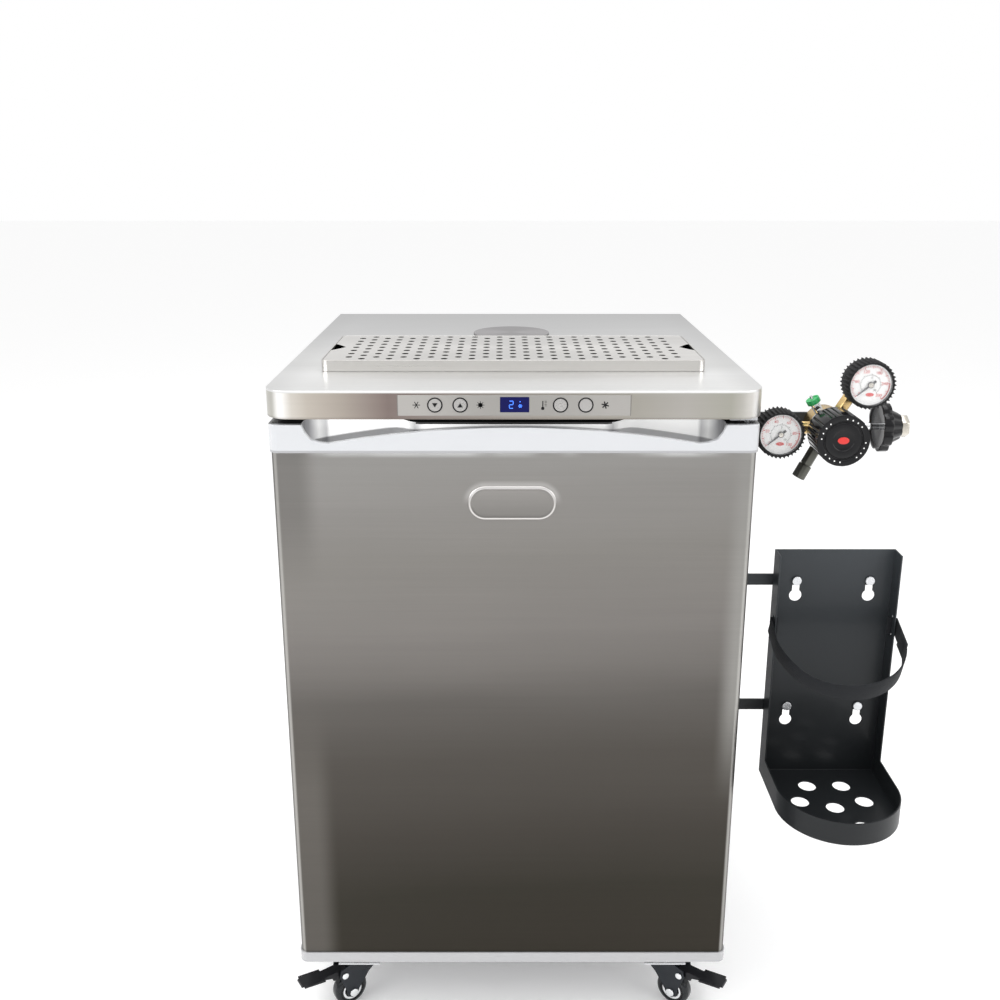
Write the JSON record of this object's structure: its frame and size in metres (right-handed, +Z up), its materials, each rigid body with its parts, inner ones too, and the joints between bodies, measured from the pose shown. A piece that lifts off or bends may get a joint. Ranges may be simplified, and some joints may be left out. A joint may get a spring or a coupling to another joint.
{
  "type": "kegerator",
  "caption": "Upright keg cooler with insulated hinged door, lift-out perforated drip tray, key panel, swivel casters, side gas-bottle holder with strap and a gas regulator.",
  "frame": {"origin": "centre of the bounding box at the floor under the wheels", "axes": "+Z up, the door faces -Y, +X to the right seen from the front"},
  "size_m": [0.8342, 0.703, 0.963],
  "materials": {
    "stainless_top": "brushed",
    "stainless_door": "brushed",
    "silver_plastic": "satin silver",
    "display_black": "gloss",
    "button_grey": "satin",
    "cabinet_paint": "satin",
    "liner_plastic": "satin",
    "foam": "matte",
    "gasket_rubber": "matte",
    "bare_aluminium": "satin",
    "black_paint": "satin powder coat",
    "zinc": "plated",
    "black_plastic": "satin",
    "fork_black": "satin",
    "tyre": "gloss",
    "webbing": "woven",
    "brass": "machined",
    "gauge_rubber": "matte",
    "lens": "clear",
    "needle": "matte",
    "dark_metal": "satin"
  },
  "bodies": {
    "cabinet": {"side_panel_left": "cabinet_paint", "side_panel_right": "cabinet_paint", "inner_liner": "liner_plastic", "cabinet_foam": "foam", "rear_panel": "cabinet_paint", "base_pan": "cabinet_paint", "worktop": "stainless_top", "worktop_core": "foam", "control_panel": "silver_plastic", "display_window": "display_black", "keg_floor": "bare_aluminium", "evaporator_cover": "liner_plastic", "evaporator": "bare_aluminium", "compressor": "black_paint", "condenser": "bare_aluminium", "rear_grille": "cabinet_paint", "power_inlet": "black_plastic", "gas_grommet": "gasket_rubber", "panel_screws": "zinc", "top_hinge": "zinc", "bottom_hinge": "zinc", "caster_plates": "zinc", "holder_screws": "zinc", "bottle_holder": "black_paint", "holder_strap": "webbing", "accessory_arms": "black_paint", "regulator_body": "brass", "outlet_fitting": "dark_metal", "gauge_cases": "gauge_rubber", "gauge_lenses": "lens"},
    "door": {"door_skin": "stainless_door", "door_top_cap": "silver_plastic", "door_bottom_cap": "silver_plastic", "door_liner": "liner_plastic", "door_foam": "foam", "door_gasket": "gasket_rubber", "door_badge": "silver_plastic"},
    "drip_tray": {"drip_tray": "stainless_top"},
    "drip_grate": {"drip_grate": "stainless_top"},
    "tower_cover": {"tower_cover": "stainless_top"},
    "evaporator_fan": {"fan_rotor": "black_plastic"},
    "button_down": {"button_down": "button_grey"},
    "button_up": {"button_up": "button_grey"},
    "button_unit": {"button_unit": "button_grey"},
    "button_fan": {"button_fan": "button_grey"},
    "pressure_knob": {"regulator_knob": "black_plastic"},
    "needle_low": {"needle_low": "needle"},
    "needle_high": {"needle_high": "needle"},
    "handwheel": {"handwheel": "black_plastic"},
    "relief_valve": {"relief_valve": "dark_metal"},
    "caster_front_left": {"caster_fork_front_left": "fork_black"},
    "wheel_front_left": {"caster_wheel_front_left": "tyre"},
    "pedal_left": {"brake_pedal_left": "black_plastic"},
    "caster_front_right": {"caster_fork_front_right": "fork_black"},
    "wheel_front_right": {"caster_wheel_front_right": "tyre"},
    "pedal_right": {"brake_pedal_right": "black_plastic"},
    "caster_rear_left": {"caster_fork_rear_left": "fork_black"},
    "wheel_rear_left": {"caster_wheel_rear_left": "tyre"},
    "caster_rear_right": {"caster_fork_rear_right": "fork_black"},
    "wheel_rear_right": {"caster_wheel_rear_right": "tyre"}
  },
  "joints": [
    {"name": "door_hinge", "type": "hinge", "parent": "cabinet", "child": "door", "pos_m": [0.17558, -0.2715, 0.5], "axis": [0, 0, 1], "range_deg": [0, 105]},
    {"name": "button_down_press", "type": "slide", "parent": "cabinet", "child": "button_down", "axis": [0, 1, 0], "range_m": [0, 0.0015], "stiffness_N_per_m": 400},
    {"name": "button_up_press", "type": "slide", "parent": "cabinet", "child": "button_up", "axis": [0, 1, 0], "range_m": [0, 0.0015], "stiffness_N_per_m": 400},
    {"name": "button_unit_press", "type": "slide", "parent": "cabinet", "child": "button_unit", "axis": [0, 1, 0], "range_m": [0, 0.0015], "stiffness_N_per_m": 400},
    {"name": "button_fan_press", "type": "slide", "parent": "cabinet", "child": "button_fan", "axis": [0, 1, 0], "range_m": [0, 0.0015], "stiffness_N_per_m": 400},
    {"name": "tray_lift", "type": "slide", "parent": "cabinet", "child": "drip_tray", "axis": [0, 0, 1], "range_m": [0, 0.15]},
    {"name": "grate_lift", "type": "slide", "parent": "drip_tray", "child": "drip_grate", "axis": [0, 0, 1], "range_m": [0, 0.1]},
    {"name": "cover_lift", "type": "slide", "parent": "cabinet", "child": "tower_cover", "axis": [0, 0, 1], "range_m": [0, 0.08]},
    {"name": "fan_spin", "type": "hinge", "parent": "cabinet", "child": "evaporator_fan", "pos_m": [-0.10742, 0.2545, 0.735], "axis": [0, 1, 0], "continuous": true},
    {"name": "swivel_front_left", "type": "hinge", "parent": "cabinet", "child": "caster_front_left", "pos_m": [-0.32942, -0.2145, 0.07], "axis": [0, 0, 1], "continuous": true},
    {"name": "roll_front_left", "type": "hinge", "parent": "caster_front_left", "child": "wheel_front_left", "pos_m": [-0.34787, -0.22648, 0.025], "axis": [0.5446, -0.8387, 0], "continuous": true},
    {"name": "pedal_left_press", "type": "hinge", "parent": "caster_front_left", "child": "pedal_left", "pos_m": [-0.35794, -0.23302, 0.059], "axis": [0.5446, -0.8387, 0], "range_deg": [0, 12]},
    {"name": "swivel_front_right", "type": "hinge", "parent": "cabinet", "child": "caster_front_right", "pos_m": [0.11458, -0.2145, 0.07], "axis": [0, 0, 1], "continuous": true},
    {"name": "roll_front_right", "type": "hinge", "parent": "caster_front_right", "child": "wheel_front_right", "pos_m": [0.13303, -0.22648, 0.025], "axis": [0.5446, 0.8387, 0], "continuous": true},
    {"name": "pedal_right_press", "type": "hinge", "parent": "caster_front_right", "child": "pedal_right", "pos_m": [0.14309, -0.23302, 0.059], "axis": [0.5446, 0.8387, 0], "range_deg": [0, 12]},
    {"name": "swivel_rear_left", "type": "hinge", "parent": "cabinet", "child": "caster_rear_left", "pos_m": [-0.32942, 0.2915, 0.07], "axis": [0, 0, 1], "continuous": true},
    {"name": "roll_rear_left", "type": "hinge", "parent": "caster_rear_left", "child": "wheel_rear_left", "pos_m": [-0.34787, 0.30348, 0.025], "axis": [-0.5446, -0.8387, 0], "continuous": true},
    {"name": "swivel_rear_right", "type": "hinge", "parent": "cabinet", "child": "caster_rear_right", "pos_m": [0.11458, 0.2915, 0.07], "axis": [0, 0, 1], "continuous": true},
    {"name": "roll_rear_right", "type": "hinge", "parent": "caster_rear_right", "child": "wheel_rear_right", "pos_m": [0.13303, 0.30348, 0.025], "axis": [-0.5446, 0.8387, 0], "continuous": true},
    {"name": "pressure_adjust", "type": "hinge", "parent": "cabinet", "child": "pressure_knob", "pos_m": [0.30158, -0.2385, 0.868], "axis": [0, 1, 0], "range_deg": [0, 1440]},
    {"name": "needle_low_turn", "type": "hinge", "parent": "cabinet", "child": "needle_low", "pos_m": [0.23158, -0.2255, 0.868], "axis": [0, 1, 0], "range_deg": [0, 270]},
    {"name": "needle_high_turn", "type": "hinge", "parent": "cabinet", "child": "needle_high", "pos_m": [0.33958, -0.2255, 0.932], "axis": [0, 1, 0], "range_deg": [0, 270]},
    {"name": "handwheel_turn", "type": "hinge", "parent": "cabinet", "child": "handwheel", "pos_m": [0.36758, -0.1805, 0.868], "axis": [1, 0, 0], "continuous": true},
    {"name": "relief_pull", "type": "slide", "parent": "cabinet", "child": "relief_valve", "axis": [-0.5201, 0, 0.8541], "range_m": [0, 0.002], "stiffness_N_per_m": 800}
  ]
}
